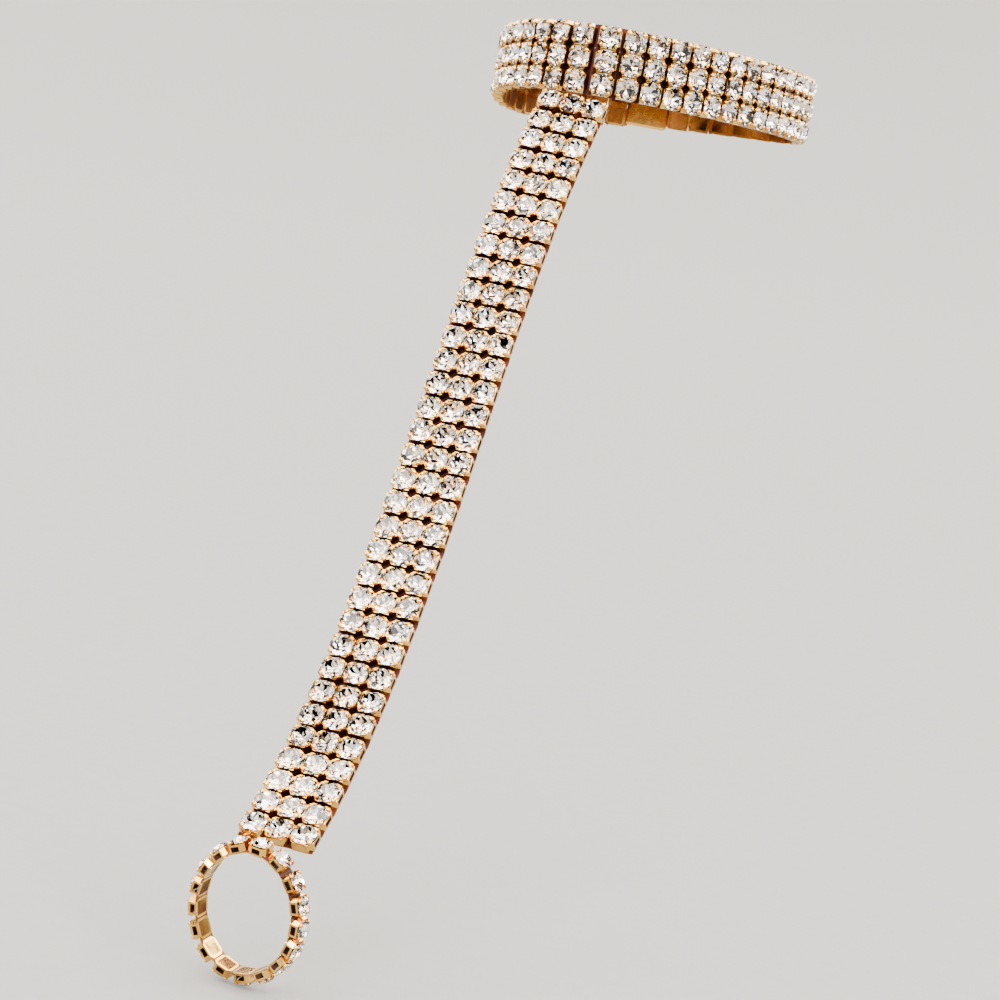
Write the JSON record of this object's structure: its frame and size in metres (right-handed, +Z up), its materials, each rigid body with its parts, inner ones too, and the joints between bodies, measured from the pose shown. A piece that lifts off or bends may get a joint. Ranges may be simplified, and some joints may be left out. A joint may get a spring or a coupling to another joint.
{
  "type": "barefoot sandal jewellery",
  "caption": "Jewelled anklet joined by a strap of stone-set bars down the instep to a loop for the second toe, in gold-tone metal with clear stones.",
  "frame": {"origin": "middle of the anklet, on the leg's axis, halfway up its three rows", "axes": "+Z up the leg through the anklet, -Y forward to the toes, +X to the outer side of a left foot"},
  "size_m": [0.0624, 0.1637, 0.1667],
  "materials": {
    "gold_tone_metal": "polished light gold plate",
    "clear_stone": "clear faceted glass with a mirror back"
  },
  "bodies": {
    "root": {"ankle_band": "gold_tone_metal", "ankle_clasp": "gold_tone_metal", "ankle_stones": "clear_stone", "instep_strap": "gold_tone_metal", "instep_stones": "clear_stone", "toe_ring": "gold_tone_metal", "toe_stones": "clear_stone"}
  },
  "joints": []
}
